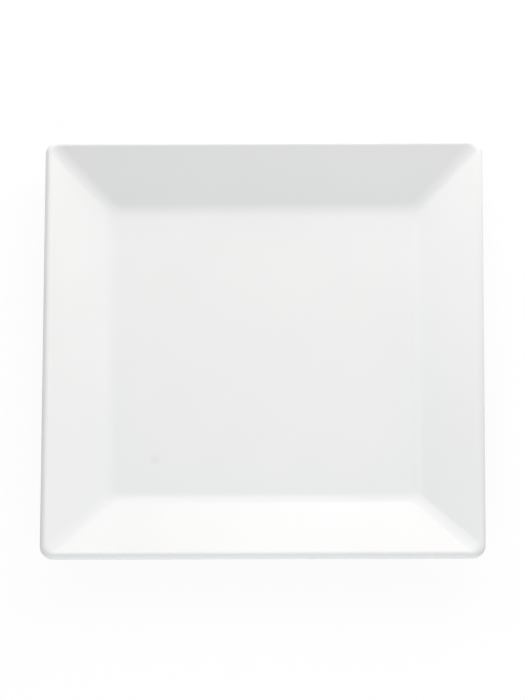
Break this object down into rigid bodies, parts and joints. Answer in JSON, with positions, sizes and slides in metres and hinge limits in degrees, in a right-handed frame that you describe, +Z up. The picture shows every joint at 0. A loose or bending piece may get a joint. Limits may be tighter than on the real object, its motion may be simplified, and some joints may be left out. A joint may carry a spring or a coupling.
{
  "type": "square dinner plate",
  "caption": "Square dinner plate of glazed white porcelain: flat well, broad sloping rim with mitred corners, rounded lip and a bare foot ring to stand on.",
  "frame": {"origin": "middle of the standing face of the foot ring, on the table", "axes": "+Z up, out of the well; the sides of the plate lie along X and Y"},
  "size_m": [0.267, 0.267, 0.02],
  "materials": {
    "bare_porcelain": "fired clay without glaze, matt, showing only on the foot ring",
    "white_glaze": "clear gloss glaze over white clay, smooth"
  },
  "bodies": {
    "root": {"porcelain_body": "bare_porcelain", "outer_glaze": "white_glaze", "recess_glaze": "white_glaze"}
  },
  "joints": []
}
